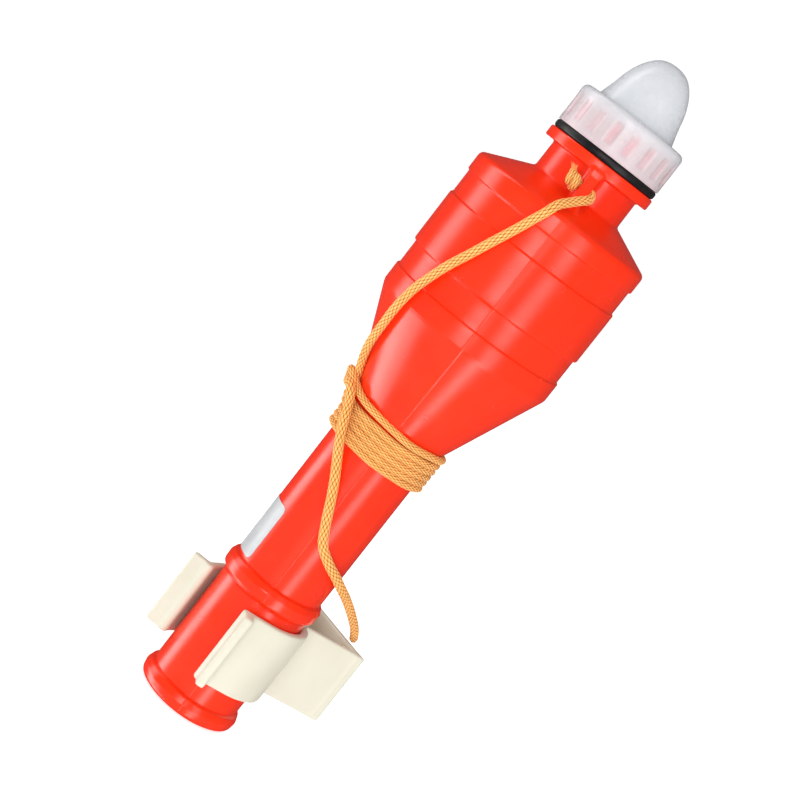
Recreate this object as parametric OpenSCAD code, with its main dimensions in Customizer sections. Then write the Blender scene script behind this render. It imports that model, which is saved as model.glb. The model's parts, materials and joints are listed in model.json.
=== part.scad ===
// Self-igniting lifebuoy light: a buoyant, blow-moulded float with a battery tube, a screwed lens cap,
// a tilt-switched lamp, a braided lanyard and the spring clip that it is stowed in.
// Millimetres. The float stands upright, lens up, on its flat base. +Z runs along the battery tube and
// +Y is the outward normal of the clip's mounting face.

/* [Float body] */
// Outer diameter of the battery tube
tube_d = 40.4; // [40.2:0.1:40.8]
// Outer diameter of the raised bands of the float chamber
pot_d = 80.2; // [78:0.2:84]
// Wall thickness of the tube
tube_wall = 1.9; // [1.8:0.05:1.9]
// Wall thickness of the float chamber
pot_wall = 2.0; // [1.6:0.1:2.6]
// Outer diameter of the neck flange
flange_d = 49; // [48:0.2:51]

/* [Lens cap] */
// Outer diameter of the screw ring
ring_d = 48.2; // [47.6:0.1:49]
// Number of grip grooves round the screw ring
grip_n = 18; // [12:1:24]
// Depth of each grip groove
grip_depth = 0.5; // [0.3:0.1:0.7]
// Lead of the cap thread
thread_lead = 4; // [4:0.1:4.2]

/* [Lug and lanyard] */
// Thickness of the lanyard lug
lug_t = 5.2; // [4:0.2:6]
// Diameter of the hole in the lug
lug_hole_d = 4.8; // [4.4:0.1:5.2]
// Diameter of the braided lanyard
cord_d = 4; // [3:0.1:4]

/* [Clip bracket] */
// Height of the clip along the tube
clip_h = 34; // [26:0.5:36]
// Wall thickness of the clip arms
arm_t = 3.5; // [2.6:0.1:3.6]
// Distance from the tube axis to the mounting face
face_y = 52.2; // [46:0.2:60]
// Half width of the mounting plate
plate_half = 19.5; // [14:0.5:24]
// Diameter of the two fixing holes
fix_d = 4.4; // [3.4:0.1:5]
// Distance between the two fixing holes
fix_pitch = 18; // [14:0.5:22]

/* [Battery] */
// Diameter of one round cell
cell_d = 34.2; // [32:0.1:34.2]
// Height of one round cell
cell_h = 61.5; // [61:0.1:61.5]

/* [Hidden] */
$fn = 96;

tr = tube_d / 2;              // tube radius
br = tr - tube_wall;          // bore radius
pr = pot_d / 2;               // chamber radius at the raised bands
neck_r = 20;                  // neck radius
thr_r = 19.9;                 // root radius of the neck thread
floor_t = 3;                  // base thickness
z_cone = 142.5;               // the tube opens into the cone here
z_band = 186.8;               // the cone meets the lowest band here
z_flange = 269.5;             // underside of the neck flange
z_seal = 274.1;               // top of the flange
z_ring = 277.4;               // underside of the screw ring
z_spig = 288;                 // top of the threaded neck
z_top = 320;                  // crown of the lens
cell_z0 = 12;                 // underside of the lowest cell
clip_z = 18.7;                // underside of the clip
lug_a = -46;                  // direction of the lug and of the mould's parting line

function arc(cx, cy, r, a0, a1, n) = [for (i = [0:n]) let (a = a0 + (a1 - a0) * i / n) [cx + r * cos(a), cy + r * sin(a)]];

// ---- sweeps -------------------------------------------------------------------------------------
function unit(v) = v / norm(v);
function last(v) = len(v) - 1;
function tangent(p, i) = unit(p[min(i + 1, last(p))] - p[max(i - 1, 0)]);
function frames(p, i = 0, up = [0, 0, 1]) =
    let (t = tangent(p, i), u = unit(up - (up * t) * t))
    i == last(p) ? [[t, u]] : concat([[t, u]], frames(p, i + 1, u));
// A tube of radius r round the points p, with n sides and flat ends
module sweep(p, r, n = 8, up = [0, 0, 1]) {
    f = frames(p, 0, up);
    m = len(p);
    pts = [for (i = [0:m - 1]) for (k = [0:n - 1])
        let (t = f[i][0], u = f[i][1], v = cross(t, u), a = 360 * k / n) p[i] + r * (cos(a) * u + sin(a) * v)];
    faces = concat([[for (k = [0:n - 1]) k]],
        [for (i = [0:m - 2]) for (k = [0:n - 1])
            let (a = i * n + k, b = i * n + (k + 1) % n) [a, a + n, b + n, b]],
        [[for (k = [n - 1:-1:0]) (m - 1) * n + k]]);
    polyhedron(points = pts, faces = faces, convexity = 6);
}
// A screw ridge: a trapezoid from radius r0 to r1 swept up a helix
module ridge(r0, r1, w0, w1, z0, turns, lead, n = 24) {
    m = ceil(turns * n);
    pts = [for (i = [0:m]) let (a = 360 * turns * i / m, z = z0 + lead * turns * i / m)
        for (q = [[r0, -w0 / 2], [r1, -w1 / 2], [r1, w1 / 2], [r0, w0 / 2]])
            [q[0] * cos(a), q[0] * sin(a), z + q[1]]];
    s = r1 > r0 ? -1 : 1;
    quad = function (a, b, c, d) s > 0 ? [a, b, c, d] : [d, c, b, a];
    faces = concat([quad(0, 1, 2, 3)],
        [for (i = [0:m - 1]) for (k = [0:3])
            let (a = i * 4 + k, b = i * 4 + (k + 1) % 4) quad(a, a + 4, b + 4, b)],
        [quad(m * 4 + 3, m * 4 + 2, m * 4 + 1, m * 4)]);
    polyhedron(points = pts, faces = faces, convexity = 6);
}

// ---- float body ---------------------------------------------------------------------------------
// Half section of the outside, from the base up
body_out = concat(
    [[0, 0], [tr - 3.7, 0]],
    arc(tr - 2.3, 4.5, 4.5, -72, 59, 10),
    [[tr, 8.8], [tr, 56.2]],
    arc(tr - 3.17, 60.8, 5.37, -53, 53, 10),
    [[tr, 65.4], [tr, z_cone - 2], [tr + 0.4, z_cone + 0.2], [tr + 1.2, z_cone + 2.4]],
    [[pr - 0.6, z_band - 0.6], [pr - 0.35, z_band + 0.4], [pr - 0.35, 195.0],
     [pr - 1.1, 195.6], [pr - 1.1, 206.2], [pr, 206.9], [pr, 229.6],
     [pr - 0.8, 230.3], [pr - 0.8, 240.4], [pr, 241.0], [pr, 247.0]],
    arc(pr - 2.4, 247.3, 2.4, 10, 70, 5),
    [[neck_r + 1.2, 257.1], [neck_r, 258.2], [neck_r, z_flange], [flange_d / 2 - 0.6, z_flange],
     [flange_d / 2, z_flange + 0.6], [flange_d / 2, z_seal - 0.8], [flange_d / 2 - 0.8, z_seal],
     [thr_r, z_seal], [thr_r, z_spig - 0.6], [thr_r - 0.6, z_spig], [0, z_spig]]);
// Half section of the inside
body_in = [[0, floor_t], [br, floor_t], [br, z_cone], [pr - 0.6 - pot_wall, z_band], [pr - 1.1 - pot_wall, z_band + 2],
    [pr - 1.1 - pot_wall, 247.4], [pr - 4.2, 249.0], [br, 255.6], [br, z_spig + 1], [0, z_spig + 1]];
// Outline of the lug, as radius and height
lug_out = [[18.9, z_flange + 1], [25.6, z_flange + 1], [25.8, 268], [26.8, 265.4], [28.4, 262], [29.4, 258.4], [30.6, 253], [18.9, 253]];
lug_hole = [24.3, 262.3];

module float_body() color([0.95, 0.2, 0.08]) {
    difference() {
        union() {
            rotate_extrude($fn = 128) polygon(body_out);
            rotate([0, 0, lug_a]) rotate([90, 0, 0]) translate([0, 0, -lug_t / 2])
                linear_extrude(lug_t) polygon(lug_out);
            ridge(thr_r - 0.5, thr_r + 1, 1.7, 0.9, 279, 2, thread_lead);
        }
        rotate_extrude($fn = 128) polygon(body_in);
        rotate([0, 0, lug_a]) translate([lug_hole[0], 0, lug_hole[1]]) rotate([90, 0, 0])
            cylinder(d = lug_hole_d, h = lug_t + 4, center = true, $fn = 40);
    }
}

// Rounded data plate stuck on the tube just above the middle rib, left blank
module label_plate() color([0.93, 0.93, 0.95])
    rotate([0, 0, -168]) rotate_extrude(angle = 76, $fn = 128)
        translate([tr + 0.02, 66.6]) square([0.18, 25.4]);

// ---- lanyard --------------------------------------------------------------------------------
cord_r = cord_d / 2;
run_pts = [[16.9, -17.5, 262.3], [19.3, -15.2, 262.1], [21.9, -14.6, 260.9], [23.9, -17.4, 259.2], [23.8, -22.4, 257.1],
    [23.4, -26.8, 255.2], [24.1, -32, 252.6], [24.8, -34.6, 249], [23.8, -35.4, 245.5], [22.4, -36.2, 242],
    [20.6, -37.2, 237], [16, -39.4, 226], [12, -40.8, 217], [8, -41.8, 209], [4.4, -42.1, 201],
    [1.6, -42.2, 193.5], [-0.6, -41.5, 185], [-5.2, -36.8, 174.5], [-9.9, -31.2, 164], [-13.8, -24.8, 154],
    [-14.2, -22.4, 150.5], [-13.6, -20.4, 147.6]];
tail_pts = [[-16.6, -20, 150.5], [-12.6, -23.4, 149], [-8, -24.8, 146], [-3.4, -25.6, 139.5], [0.4, -25.7, 133],
    [3.4, -24.4, 127], [6.2, -22.2, 121], [9.4, -20.3, 115], [12.3, -18.7, 109], [14.6, -17, 103], [16.6, -15.1, 97.3],
    [18.9, -12.1, 91], [21.6, -5.8, 86], [22.3, 1.5, 82.4], [22, 9, 78.6], [19.6, 19, 74], [16.6, 32, 67], [13.2, 42.5, 60.8],
    [9.4, 50.6, 55.1]];

module lanyard_knot() color([1, 0.62, 0.3]) {
    // stopper knot on the left of the lug, drawn up against its hole
    rotate([0, 0, lug_a]) translate([lug_hole[0], 0, lug_hole[1]])
        rotate([90, 0, 0]) rotate_extrude($fn = 40)
            polygon(concat([[0, 2.7], [2.6, 2.7]], arc(1.4, 6.6, 3.4, -70, 70, 8), [[2, 10.4], [0, 10.4]]));
    // end of the cord in the hole
    rotate([0, 0, lug_a]) translate([lug_hole[0], 0, lug_hole[1]])
        rotate([90, 0, 0]) cylinder(r = cord_r, h = 2.7, $fn = 24);
}
module lanyard_run() color([1, 0.62, 0.3]) sweep(run_pts, cord_r, 8, [0, 0, 1]);
module lanyard_windings() color([1, 0.62, 0.3])
    rotate_extrude($fn = 96) polygon(concat(
        [[tr + 0.05, 127.6], [tr + 0.05, z_cone - 2.1], [tr + 0.5, z_cone + 0.2], [tr + 1.3, z_cone + 2.4], [tr + 2, 146.2]],
        arc(tr + 2.6, 144.8, 1.8, 90, 20, 4), [[tr + 3.3, 141]], arc(tr + 1.7, 129.2, 1.6, 0, -90, 5)));
module lanyard_tail() color([1, 0.62, 0.3]) sweep(tail_pts, cord_r, 8, [0, 0, 1]);

// ---- battery --------------------------------------------------------------------------------
cr = cell_d / 2;
module can(i) color(i % 2 == 0 ? [0.2, 0.32, 0.55] : [0.24, 0.36, 0.6])
    translate([0, 0, cell_z0 + i * cell_h]) rotate_extrude()
        polygon([[0, 0], [cr - 0.6, 0], [cr, 0.6], [cr, cell_h - 2.1], [cr - 0.6, cell_h - 1.5], [cr - 2, cell_h - 1.5],
                 [cr - 2, cell_h - 1.9], [cr - 0.4, cell_h - 1.9], [cr - 0.4, 0.4], [0, 0.4]]);
module cell_1() can(0);
module cell_2() can(1);
module cell_3() can(2);
module cell_4() can(3);
module cell_cores() color([0.15, 0.15, 0.15])
    for (i = [0:3]) translate([0, 0, cell_z0 + i * cell_h + 0.4]) cylinder(r = cr - 0.4, h = cell_h - 4.4);
module cell_seals() color([0.08, 0.08, 0.08])
    for (i = [0:3]) translate([0, 0, cell_z0 + i * cell_h + cell_h - 4]) difference() {
        cylinder(r = cr - 0.4, h = 2.1);
        translate([0, 0, -1]) cylinder(r = 4.75, h = 5, $fn = 48);
    }
module cell_caps() color([0.85, 0.85, 0.86])
    for (i = [0:3]) translate([0, 0, cell_z0 + i * cell_h + cell_h - 4]) {
        cylinder(r = 4.75, h = 3.5, $fn = 48);
        cylinder(r = 4.2, h = 3.95, $fn = 48);
    }

// Split liner that guides the cells through the float chamber
module battery_sleeve() color([0.8, 0.76, 0.66]) difference() {
    translate([0, 0, 6]) cylinder(r = cr + 0.9, h = 249);
    translate([0, 0, 5]) cylinder(r = cr + 0.3, h = 251);
    translate([cr - 1, -3.5, 5]) cube([3, 7, 251]);
}
module negative_plate() color([0.8, 0.8, 0.82]) translate([0, 0, floor_t]) cylinder(r = cr - 0.6, h = 0.6);
spring_pts = [for (i = [0:90]) let (a = 360 * 4.5 * i / 90) [9 * cos(a), 9 * sin(a), 4.25 + 7.1 * i / 90]];
module bottom_spring() color([0.75, 0.75, 0.78]) sweep(spring_pts, 0.6, 8, [0, 0, 1]);
// Springy strip that brings the negative pole up the bore to the lamp holder
module contact_strip() color([0.85, 0.66, 0.3]) {
    rotate([0, 0, -8]) rotate_extrude(angle = 16, $fn = 128) translate([cr + 0.55, floor_t + 0.6]) square([0.35, z_spig - floor_t - 0.6]);
    translate([14, -2.2, z_spig - 0.4]) cube([cr + 0.7 - 14, 4.4, 0.4]);
    translate([13, -2.2, floor_t + 0.6]) cube([cr + 0.7 - 13, 4.4, 0.4]);
}

// ---- lamp holder --------------------------------------------------------------------------------
cup_r = cr + 0.4;
module lamp_holder() color([0.92, 0.91, 0.86]) difference() {
    union() {
        difference() {
            translate([0, 0, 259.5]) cylinder(r = cup_r, h = z_spig - 259.5);
            translate([0, 0, 262]) cylinder(r = cup_r - 1.6, h = 40);
        }
        for (s = [-1, 1]) translate([0, s * 13.2, 261.5]) cylinder(r = 2.5, h = z_spig - 261.5, $fn = 32);
    }
    translate([0, 0, 258]) cylinder(r = 1.5, h = 6, $fn = 32);
    for (s = [-1, 1]) translate([0, s * 13.2, 278]) cylinder(r = 0.95, h = 12, $fn = 24);
    translate([13.5, -2.4, z_spig - 0.45]) cube([6, 4.8, 1]);
}
module holder_plate() color([0.92, 0.91, 0.86]) difference() {
    translate([0, 0, z_spig]) cylinder(r = 19.4, h = 2);
    translate([0, 0, z_spig - 1]) cylinder(r = 6, h = 4, $fn = 48);
    for (s = [-1, 1]) translate([0, s * 13.2, z_spig - 1]) cylinder(r = 1.2, h = 4, $fn = 24);
}
module plate_screws() color([0.75, 0.75, 0.77]) for (s = [-1, 1]) translate([0, s * 13.2, 0]) {
    translate([0, 0, 280]) cylinder(r = 0.9, h = 10.2, $fn = 24);
    difference() {
        translate([0, 0, z_spig + 2]) cylinder(r = 1.9, h = 1.1, $fn = 32);
        translate([0, 0, z_spig + 3]) rotate([0, 0, 35]) cube([5, 0.5, 0.9], center = true);
    }
}
module positive_rivet() color([0.85, 0.66, 0.3]) {
    translate([0, 0, 258]) cylinder(r = 5, h = 1.5, $fn = 48);
    translate([0, 0, 259]) cylinder(r = 1.45, h = 3.6, $fn = 32);
    translate([0, 0, 262]) cylinder(r = 2.8, h = 0.6, $fn = 32);
}
module lamp_socket() color([0.85, 0.66, 0.3]) difference() {
    union() {
        translate([0, 0, 278]) cylinder(r = 5.9, h = 12.4, $fn = 64);
        translate([0, 0, z_spig + 2]) cylinder(r = 7.2, h = 0.6, $fn = 64);
    }
    translate([0, 0, 277]) cylinder(r = 5.1, h = 16, $fn = 64);
}
module socket_base() color([0.12, 0.1, 0.1]) difference() {
    translate([0, 0, 275.4]) cylinder(r = 5.9, h = 2.6, $fn = 64);
    translate([0, 0, 275]) cylinder(r = 1.25, h = 4, $fn = 32);
}
module centre_contact() color([0.85, 0.66, 0.3]) {
    translate([0, 0, 273.6]) cylinder(r = 1.2, h = 4.6, $fn = 32);
    translate([0, 0, 278]) cylinder(r = 2.6, h = 0.5, $fn = 32);
}
// Screw-base bulb
module lamp_base() color([0.85, 0.68, 0.35]) rotate_extrude($fn = 64)
    polygon([[0, 278.55], [1.4, 278.55], [1.7, 279.2], [3.6, 280.2], [4.4, 280.6], [4.8, 281.2], [4.4, 281.9], [4.8, 282.6],
             [4.4, 283.3], [4.8, 284], [4.4, 284.7], [4.8, 285.4], [4.4, 286.1], [4.8, 286.8], [4.4, 287.5], [4.7, 288.4],
             [4.7, 291], [4.2, 291], [4.2, 289], [3.8, 287.4], [3.8, 282], [0, 282]]);
glass_out = concat([[4.15, 289.1], [4.15, 292.2]], arc(0, 298, 5.5, -38, 88, 14));
glass_in = concat([[3.7, 289.1], [3.7, 292.4]], arc(0, 298, 5.05, -40, 88, 14));
module lamp_glass() color([0.85, 0.9, 0.92, 0.5]) rotate_extrude($fn = 64)
    polygon(concat(glass_out, [[0, 303.5], [0, 303.05]], [for (i = [last(glass_in):-1:0]) glass_in[i]]));
module lamp_filament() color([0.6, 0.6, 0.62]) {
    translate([0, 0, 282]) cylinder(r = 1.5, h = 11, $fn = 32);
    for (s = [-1, 1]) translate([s * 1.1, 0, 292.5]) cylinder(r = 0.2, h = 5.5, $fn = 16);
    translate([-1.4, 0, 297.8]) rotate([0, 90, 0]) cylinder(r = 0.3, h = 2.8, $fn = 16);
}

// ---- tilt switch --------------------------------------------------------------------------------
sw_x = -10.9;
module switch_housing() color([0.8, 0.86, 0.9, 0.6]) translate([sw_x, 0, 0]) difference() {
    translate([0, 0, 266]) cylinder(r = 4.2, h = 15, $fn = 64);
    translate([0, 0, 267.2]) cylinder(r = 3.4, h = 20, $fn = 64);
    for (s = [-1, 1]) translate([0, s * 1.3, 265]) cylinder(r = 0.5, h = 4, $fn = 24);
}
module switch_plug() color([0.1, 0.1, 0.1]) translate([sw_x, 0, 0]) {
    translate([0, 0, 279.8]) cylinder(r = 3.4, h = 1.3, $fn = 64);
    translate([0, 0, 281]) cylinder(r = 4.2, h = 1, $fn = 64);
}
module switch_pins() color([0.85, 0.68, 0.35]) translate([sw_x, 0, 0])
    for (s = [-1, 1]) translate([0, s * 1.3, 264.6]) cylinder(r = 0.5, h = 3.6, $fn = 24);
module switch_ball() color([0.75, 0.75, 0.78]) translate([sw_x, 0, 271.14]) sphere(r = 3, $fn = 48);
wire_a = [[2.4, 0.9, 263.1], [1.2, 4, 263.3], [-2, 6.2, 263.2], [-6.5, 5.8, 263.2], [-9.8, 3.6, 263.4], [-10.9, 1.3, 264.1]];
wire_b = [[-10.9, -1.3, 264.1], [-9.9, -3.8, 263.8], [-7, -5.6, 265], [-4, -5.6, 268], [-1.6, -3.4, 271.2], [0, 0, 273.1]];
wire_c = [[14.6, 0.2, 287.1], [13.2, 0.4, 286.6], [11, 0.8, 285.2], [8.6, 0.6, 284], [6.4, 0, 283.6]];
module lead_wires() color([0.8, 0.1, 0.1]) {
    sweep(wire_a, 0.5, 8);
    sweep(wire_b, 0.5, 8);
    sweep(wire_c, 0.5, 8);
}

// ---- cap ----------------------------------------------------------------------------------------
module seal_ring() color([0.05, 0.06, 0.06]) rotate_extrude($fn = 128)
    polygon(concat(arc(22.3, z_seal + 1.1, 1.1, 180, 270, 4), arc(22.9, z_seal + 1.1, 1.1, 270, 360, 4),
                   arc(22.9, z_ring - 1.1, 1.1, 0, 90, 4), arc(22.3, z_ring - 1.1, 1.1, 90, 180, 4)));
ring_r = ring_d / 2;
cap_out = concat([[ring_r - 0.3, z_ring], [ring_r, z_ring + 0.3]], arc(ring_r - 3, 291.5, 3, 0, 88, 7),
    [[18.6, 294.5], [17.6, 294.9], [17.1, 296], [16.25, 298.8], [15.3, 302.3], [14.35, 306.2], [12.95, 310], [11.2, 313.3], [9.2, 316],
     [6.8, 318.2], [4.3, 319.4], [2, 319.9], [0, z_top]]);
cap_in = [[0, z_top - 2], [2, z_top - 2.1], [3.8, 317.5], [5.9, 316.4], [7.9, 314.6], [9.6, 312.2], [11.2, 309.1], [12.4, 305.6],
    [13.3, 301.8], [14.2, 298.2], [15, 295], [15.2, 291.9], [21.5, 291.9], [21.5, z_ring]];
module lens_cap() color([0.92, 0.93, 0.95, 0.75]) union() {
    difference() {
        rotate_extrude($fn = 128) polygon(concat(cap_out, cap_in));
        for (i = [0:grip_n - 1]) rotate([0, 0, lug_a + 9 + 360 * i / grip_n])
            translate([ring_r - grip_depth, -1.8, z_ring + 2.6]) cube([3, 3.6, 10.4]);
    }
    ridge(22, 20.4, 2.0, 0.9, 281, 1.5, thread_lead);
}

// ---- clip ---------------------------------------------------------------------------------------
ci = tr + 0.3;               // inside radius of the clip
cm = ci + arm_t / 2;         // radius of the middle of its wall
root_a = 30;                 // the arms start this far each side of the mounting direction
leave_a = 112;               // and leave the tube here
root = [cm * sin(root_a), cm * cos(root_a)];
leave = [ci * sin(leave_a), ci * cos(leave_a)];
bend = leave + 12.6 * [cos(leave_a), -sin(leave_a)];
lip = unit([6.4, -4.9]);
lip_l = 8.4;
ped_a = 22.2;                // half angle of the hollow pedestal where it meets the saddle

module sector(r0, r1, a0, a1) intersection() {
    difference() { circle(r = r1, $fn = 128); circle(r = r0, $fn = 128); }
    polygon(concat([[0, 0]], [for (i = [0:4]) let (a = a0 + (a1 - a0) * i / 4) [60 * sin(a), 60 * cos(a)]]));
}
module arm_plan() {
    n = unit([sin(leave_a), cos(leave_a)]);
    back = leave - 0.8 * unit(bend - leave);
    ln = unit([-lip[1], lip[0]]);
    tip = bend + lip_l * lip;
    sector(ci, ci + arm_t, root_a, leave_a);
    translate(root) circle(r = arm_t / 2 - 0.06, $fn = 48);
    polygon([back, bend, tip, tip + 0.9 * lip + 1.1 * ln, tip + 0.9 * lip + (arm_t - 0.7) * ln, tip + (arm_t + 0.3) * ln,
             bend + 3.2 * lip + (arm_t + 0.3) * ln, bend + 0.2 * lip + (arm_t + 2) * ln, back + (arm_t - 0.03) * n]);
}
module clip_arm() translate([0, 0, clip_z]) linear_extrude(clip_h) arm_plan();
module clip_arm_right() color([0.94, 0.92, 0.84]) clip_arm();
module clip_arm_left() color([0.94, 0.92, 0.84]) mirror([1, 0, 0]) clip_arm();
ped_w = 2.4;
ped_0 = [9.1, 22.3];
ped_1 = [plate_half, face_y];
module saddle_plan() difference() {
    union() {
        sector(ci, ci + arm_t, -root_a, root_a);
        difference() {
            polygon([[-ped_0[0], ped_0[1]], ped_0, ped_1, [-ped_1[0], ped_1[1]]]);
            circle(r = ci + 1.2, $fn = 96);
            polygon([[-ped_0[0] + ped_w + 0.1, ped_0[1] + 2.4], [ped_0[0] - ped_w - 0.1, ped_0[1] + 2.4],
                     [ped_1[0] - ped_w - 1.4, face_y - 3.2], [-ped_1[0] + ped_w + 1.4, face_y - 3.2]]);
        }
    }
    for (s = [-1, 1]) translate([s * root[0], root[1]]) circle(r = arm_t / 2 + 0.12, $fn = 48);
}
module clip_saddle() color([0.94, 0.92, 0.84]) difference() {
    translate([0, 0, clip_z]) linear_extrude(clip_h) saddle_plan();
    for (s = [-1, 1]) translate([0, 0, clip_z + clip_h / 2 + s * fix_pitch / 2]) {
        translate([0, face_y + 1, 0]) rotate([90, 0, 0]) cylinder(d = fix_d, h = 8, $fn = 40);
        translate([0, 30, 0]) rotate([90, 0, 0]) cylinder(d = 7, h = 14, $fn = 40);
    }
}

float_body();
label_plate();
lanyard_knot();
lanyard_run();
lanyard_windings();
lanyard_tail();
battery_sleeve();
negative_plate();
bottom_spring();
contact_strip();
cell_1();
cell_2();
cell_3();
cell_4();
cell_cores();
cell_seals();
cell_caps();
lamp_holder();
holder_plate();
plate_screws();
positive_rivet();
lamp_socket();
socket_base();
centre_contact();
lamp_base();
lamp_glass();
lamp_filament();
switch_housing();
switch_plug();
switch_pins();
switch_ball();
lead_wires();
seal_ring();
lens_cap();
clip_saddle();
clip_arm_right();
clip_arm_left();
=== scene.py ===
import json
import math

import bpy
import bmesh
import numpy as np
from mathutils import Matrix, Vector


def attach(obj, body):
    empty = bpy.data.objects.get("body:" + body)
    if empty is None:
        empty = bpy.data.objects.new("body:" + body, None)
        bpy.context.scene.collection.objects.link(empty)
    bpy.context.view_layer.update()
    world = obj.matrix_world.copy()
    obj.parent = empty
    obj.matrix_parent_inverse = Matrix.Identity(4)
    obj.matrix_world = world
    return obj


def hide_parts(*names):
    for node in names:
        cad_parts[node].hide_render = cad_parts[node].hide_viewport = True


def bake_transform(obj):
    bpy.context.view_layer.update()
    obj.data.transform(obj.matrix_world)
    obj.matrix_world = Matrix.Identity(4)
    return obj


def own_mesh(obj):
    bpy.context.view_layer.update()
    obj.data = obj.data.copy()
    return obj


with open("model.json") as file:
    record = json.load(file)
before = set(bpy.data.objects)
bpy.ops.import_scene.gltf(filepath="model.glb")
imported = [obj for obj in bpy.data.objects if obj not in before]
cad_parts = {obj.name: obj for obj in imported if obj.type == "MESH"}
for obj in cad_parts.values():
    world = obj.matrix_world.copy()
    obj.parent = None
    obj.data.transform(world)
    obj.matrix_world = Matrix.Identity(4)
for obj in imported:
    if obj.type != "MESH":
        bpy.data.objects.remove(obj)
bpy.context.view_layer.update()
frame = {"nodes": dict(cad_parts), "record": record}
scene = bpy.context.scene
pi, rad = math.pi, math.radians

# ---- camera ---------------------------------------------------------------------------------------
AZ, EL, ROLL = rad(42.0), rad(8.5), rad(37.9)
RIGHT = Vector((math.cos(AZ), math.sin(AZ), 0))
AWAY = Vector((-math.sin(AZ), math.cos(AZ), 0))
UP = Vector((0, 0, 1))
fwd = AWAY * math.cos(EL) - UP * math.sin(EL)
upv = AWAY * math.sin(EL) + UP * math.cos(EL)
cam_x = RIGHT * math.cos(ROLL) + upv * math.sin(ROLL)
cam_y = upv * math.cos(ROLL) - RIGHT * math.sin(ROLL)
cam_at = (RIGHT * -5.4 + AWAY * -790.0 + UP * 270.0) * 0.001
cam_data = bpy.data.cameras.new("camera")
cam_data.sensor_width, cam_data.lens = 36.0, 90.675
cam_data.clip_start, cam_data.clip_end = 0.05, 40.0
cam = bpy.data.objects.new("camera", cam_data)
scene.collection.objects.link(cam)
m = Matrix.Identity(4)
for i, v in enumerate((cam_x, cam_y, -fwd)):
    for k in range(3):
        m[k][i] = v[k]
for k in range(3):
    m[k][3] = cam_at[k]
cam.matrix_world = m
scene.camera = cam


# ---- mesh helpers -----------------------------------------------------------------------------------
def mesh(name, verts, faces, smooth=60.0, uv=None):
    """A mesh object from vertices in millimetres. uv is one pair for each vertex."""
    me = bpy.data.meshes.new(name)
    me.from_pydata((np.asarray(verts, float) * 0.001).tolist(), [], [list(map(int, f)) for f in faces])
    me.validate()
    me.update()
    if uv is not None:
        layer = me.uv_layers.new(name="UVMap")
        index = np.zeros(len(me.loops), np.int32)
        me.loops.foreach_get("vertex_index", index)
        layer.data.foreach_set("uv", np.asarray(uv, np.float32)[index].ravel())
    o = bpy.data.objects.new(name, me)
    scene.collection.objects.link(o)
    if smooth is not None:
        me.polygons.foreach_set("use_smooth", [True] * len(me.polygons))
        if smooth < 180:
            mark_sharp(me, smooth)
    return o


def mark_sharp(me, angle):
    b = bmesh.new()
    b.from_mesh(me)
    limit = rad(angle)
    for e in b.edges:
        if len(e.link_faces) == 2 and e.calc_face_angle(0.0) > limit:
            e.smooth = False
    b.to_mesh(me)
    b.free()


def outward(o):
    b = bmesh.new()
    b.from_mesh(o.data)
    bmesh.ops.recalc_face_normals(b, faces=b.faces)
    b.to_mesh(o.data)
    b.free()


def arc(cx, cy, r, a0, a1, n):
    return [(cx + r * math.cos(rad(a0 + (a1 - a0) * i / n)), cy + r * math.sin(rad(a0 + (a1 - a0) * i / n))) for i in range(n + 1)]


def fillet(points, n=5):
    """Rounds the corners of an open profile: each point is (r, z) or (r, z, radius)."""
    out = []
    for i, p in enumerate(points):
        q = p[2] if len(p) > 2 else 0.0
        if q <= 0 or i == 0 or i == len(points) - 1:
            out.append((p[0], p[1]))
            continue
        a = np.array(points[i - 1][:2], float) - np.array(p[:2], float)
        b = np.array(points[i + 1][:2], float) - np.array(p[:2], float)
        la, lb = np.linalg.norm(a), np.linalg.norm(b)
        a, b = a / la, b / lb
        half = math.acos(max(-1, min(1, float(a @ b)))) / 2
        if half > rad(88):
            out.append((p[0], p[1]))
            continue
        t = min(q / math.tan(half), 0.48 * la, 0.48 * lb)
        q = t * math.tan(half)
        c = np.array(p[:2]) + (a + b) / np.linalg.norm(a + b) * (q / math.sin(half))
        s, e = np.array(p[:2]) + a * t, np.array(p[:2]) + b * t
        a0 = math.atan2(*(s - c)[::-1])
        a1 = math.atan2(*(e - c)[::-1])
        d = (a1 - a0 + pi) % (2 * pi) - pi
        out += [(c[0] + q * math.cos(a0 + d * k / n), c[1] + q * math.sin(a0 + d * k / n)) for k in range(n + 1)]
    return out


def dense(profile, step):
    """Adds points so that no stretch of the profile is longer than step."""
    out = [profile[0]]
    for a, b in zip(profile, profile[1:]):
        n = max(1, int(math.ceil(math.hypot(b[0] - a[0], b[1] - a[1]) / step)))
        out += [(a[0] + (b[0] - a[0]) * k / n, a[1] + (b[1] - a[1]) * k / n) for k in range(1, n + 1)]
    return out


def lathe(profile, angles, push=None):
    """Revolves a profile that starts and ends on the axis, or that is closed. push(r, z, a) gives a new radius."""
    p = np.array(profile, float)
    on = [i for i in (0, len(p) - 1) if p[i][0] < 1e-6]
    a = np.array(angles)
    verts, rows = [], []
    for i, (r, z) in enumerate(p):
        if i in on:
            rows.append([len(verts)] * len(a))
            verts.append((0, 0, z))
            continue
        rr = np.full(len(a), r) if push is None else push(r, z, a)
        rows.append(list(range(len(verts), len(verts) + len(a))))
        verts += list(zip(rr * np.cos(a), rr * np.sin(a), np.full(len(a), z)))
    faces = []
    last = len(p) if not on else len(p) - 1
    for i in range(last):
        r0, r1 = rows[i], rows[(i + 1) % len(p)]
        for k in range(len(a)):
            j = (k + 1) % len(a)
            f = [r0[k], r0[j], r1[j], r1[k]]
            f = [v for n, v in enumerate(f) if v not in f[:n]]
            if len(f) > 2:
                faces.append(f)
    return verts, faces


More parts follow.
